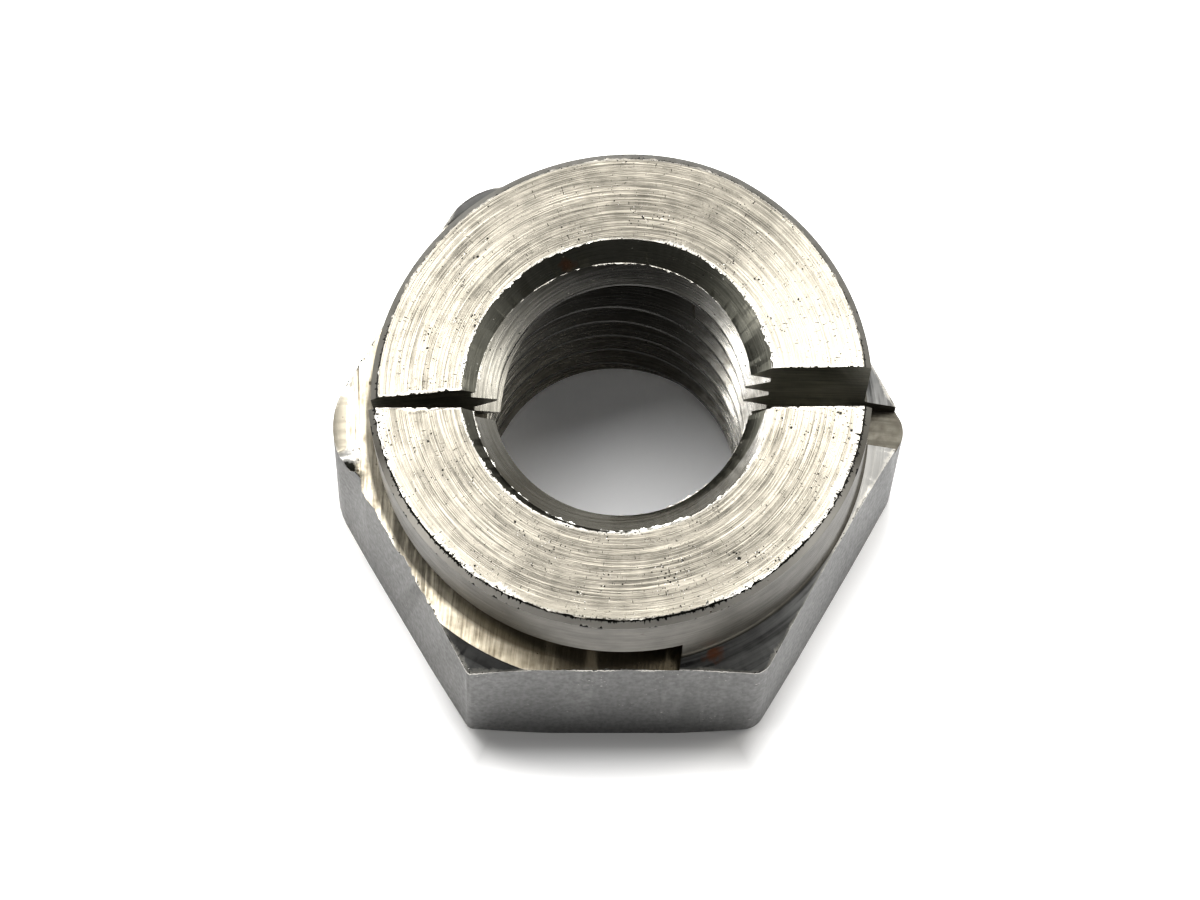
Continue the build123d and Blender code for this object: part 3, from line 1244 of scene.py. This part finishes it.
def make_floor():
    """A wide pale table top under the bearing face."""
    bm = bmesh.new()
    bmesh.ops.create_circle(bm, cap_ends=True, segments=96, radius=TABLE_R)
    floor = as_object(bm, "table", ("table_white",))
    tree = empty_tree(floor.data.materials[0])
    place = add(tree, "TexCoord").outputs["Object"]
    axes = add(tree, "SeparateXYZ", {0: place}).outputs
    slanted = placed(tree, "Flat distance", X=axes[0], Y=axes[1])["Slanted"]
    front = product(tree, calc(tree, "ABSOLUTE", axes[1]), FRONT_SHARE)
    away = calc(tree, "MAXIMUM", slanted, front)
    # Painted shadow: the table's colour darkens round the foot in front
    near = product(tree, fade_mm(tree, away, FOOT_FADE), fade_mm(tree, axes[1], FOOT_FADE_Y))
    grain = add(tree, "TexNoise", {"Scale": 40.0}).outputs["Fac"]
    tone = spread(tree, grain, 0.3, 0.7, *TABLE_TONES)
    tone = product(tree, tone, spread(tree, near, 0.0, 1.0, 1.0, FOOT_SHADOW_TONE))
    white = add(tree, "CombineColor", {0: tone, 1: tone, 2: tone}).outputs[0]
    matt = add(tree, "BsdfDiffuse", {"Color": white}).outputs[0]
    path = add(tree, "LightPath").outputs
    seen = calc(tree, "MAXIMUM", path["Is Camera Ray"], path["Is Transmission Ray"])
    seen = calc(tree, "MAXIMUM", seen, product(tree, path["Is Glossy Ray"], GLOSSY_LIFT))
    lift = product(tree, fade_mm(tree, away, WHITE_FADE, HOLE_LIFT, FLOOR_LIFT), seen)
    glow = add(tree, "Emission", {"Strength": lift}).outputs[0]
    both = add(tree, "AddShader", {0: matt, 1: glow}).outputs[0]
    add(tree, "OutputMaterial", {"Surface": both})


# Strength of the world as light, and of what shiny steel sees overhead and in front, with the
# heights and depths on the sky, from -1 to 1, between which they change
SKY = 0.45
CEILING = 0.20
CEILING_FADE = (0.35, 0.92)
DARK_FRONT = 0.02
FRONT_FADE = (-0.62, -0.12)


def make_sky(scene):
    """White for the eye; for the nut a white studio that is dark in front, where one stands."""
    scene.world = bpy.data.worlds.new("studio")
    tree = empty_tree(scene.world)
    way = add(tree, "TexCoord").outputs["Generated"]
    axes = add(tree, "SeparateXYZ", {0: way}).outputs
    front = spread(tree, axes[1], *FRONT_FADE, DARK_FRONT, 1.0)
    above = spread(tree, axes[2], *CEILING_FADE, 1.0, CEILING)
    studio = product(tree, front, above)
    path = add(tree, "LightPath").outputs
    plain = calc(tree, "MAXIMUM", path["Is Camera Ray"], path["Is Transmission Ray"])
    shiny = product(tree, path["Is Glossy Ray"], studio)
    rest = calc(tree, "SUBTRACT", 1.0, calc(tree, "MAXIMUM", plain, path["Is Glossy Ray"]))
    seen = calc(tree, "MAXIMUM", plain, shiny)
    level = calc(tree, "ADD", seen, product(tree, rest, SKY))
    sky = add(tree, "Background", {"Color": (1, 1, 1, 1), "Strength": level})
    add(tree, "OutputWorld", {"Surface": sky.outputs[0]})


WARM = (1.0, 0.97, 0.92)
NEUTRAL = (1.0, 1.0, 1.0)
LAMP_AIM = Vector((0, 0, 0.006))
# Name, place, width and height in metres, power in watts, colour
LAMPS = (
    ("left_lamp", (-0.19, 0.12, 0.235), 0.10, 0.18, 0.32, WARM),
    ("right_lamp", (0.18, 0.058, 0.24), 0.10, 0.18, 0.36, WARM),
    ("low_lamp", (-0.23, -0.04, 0.19), 0.05, 0.05, 0.11, WARM),
    ("top_lamp", (-0.03, 0.095, 0.30), 0.16, 0.14, 0.80, NEUTRAL),
)


def make_lamps():
    """Soft lamps at the left and right, a small low one and one nearly overhead."""
    for name, place, width, height, power, colour in LAMPS:
        data = bpy.data.lights.new(name, "AREA")
        data.shape = "RECTANGLE"
        data.size, data.size_y = width, height
        data.energy = power
        data.color = colour
        lamp = bpy.data.objects.new(name, data)
        lamp.location = place
        aim = LAMP_AIM - Vector(place)
        lamp.rotation_euler = aim.to_track_quat("-Z", "Y").to_euler()
        bpy.context.scene.collection.objects.link(lamp)


# Place in millimetres, azimuth, elevation and roll in degrees, and focal length in pixels
CAMERA_PLACE = (-3.773, -57.036, 187.696)
CAMERA_TURN = (-3.317013827, 72.600805680, 3.231079143)
CAMERA_FOCUS = 5639.530624
IMAGE_WIDTH = 1200
SENSOR_WIDTH = 36.0


def make_camera(scene):
    """A long lens that looks down at the nut from the front."""
    azimuth, elevation, roll = (math.radians(angle) for angle in CAMERA_TURN)
    back = Vector(
        (
            math.sin(azimuth) * math.cos(elevation),
            -math.cos(azimuth) * math.cos(elevation),
            math.sin(elevation),
        )
    )
    level = Vector((0, 0, 1)).cross(back).normalized()
    upright = back.cross(level)
    right = level * math.cos(roll) + upright * math.sin(roll)
    up = upright * math.cos(roll) - level * math.sin(roll)
    data = bpy.data.cameras.new("camera")
    data.sensor_fit = "HORIZONTAL"
    data.sensor_width = SENSOR_WIDTH
    data.lens = CAMERA_FOCUS / IMAGE_WIDTH * SENSOR_WIDTH
    data.clip_start = 0.005
    data.clip_end = 10.0
    camera = bpy.data.objects.new("camera", data)
    turn = Matrix((right, up, back)).transposed().to_4x4()
    camera.matrix_world = Matrix.Translation(Vector(CAMERA_PLACE) * MM) @ turn
    scene.collection.objects.link(camera)
    scene.camera = camera
    scene.view_settings.view_transform = "Standard"


class VIEW3D_PT_lock_nut(bpy.types.Panel):
    """Lists the nut, its finish and its stage"""

    bl_idname = "VIEW3D_PT_lock_nut"
    bl_label = "Lock nut"
    bl_space_type = "VIEW_3D"
    bl_region_type = "UI"
    bl_category = "Lock nut"

    def draw(self, context):
        for group in (context.scene.nut_sizes, context.scene.nut_finish):
            for key in group.__annotations__:
                self.layout.prop(group, key)
        self.layout.operator(MESH_OT_lock_nut.bl_idname)
        self.layout.operator(MESH_OT_nut_stage.bl_idname)


CLASSES = (NutSizes, NutFinish, MESH_OT_lock_nut, MESH_OT_nut_stage, VIEW3D_PT_lock_nut)


def register():
    for kind in CLASSES:
        bpy.utils.register_class(kind)
    bpy.types.Scene.nut_sizes = PointerProperty(type=NutSizes)
    bpy.types.Scene.nut_finish = PointerProperty(type=NutFinish)


def unregister():
    del bpy.types.Scene.nut_finish
    del bpy.types.Scene.nut_sizes
    for kind in reversed(CLASSES):
        bpy.utils.unregister_class(kind)


def main():
    register()
    bpy.ops.mesh.lock_nut()
    bpy.ops.mesh.nut_stage()


if __name__ == "__main__":
    main()
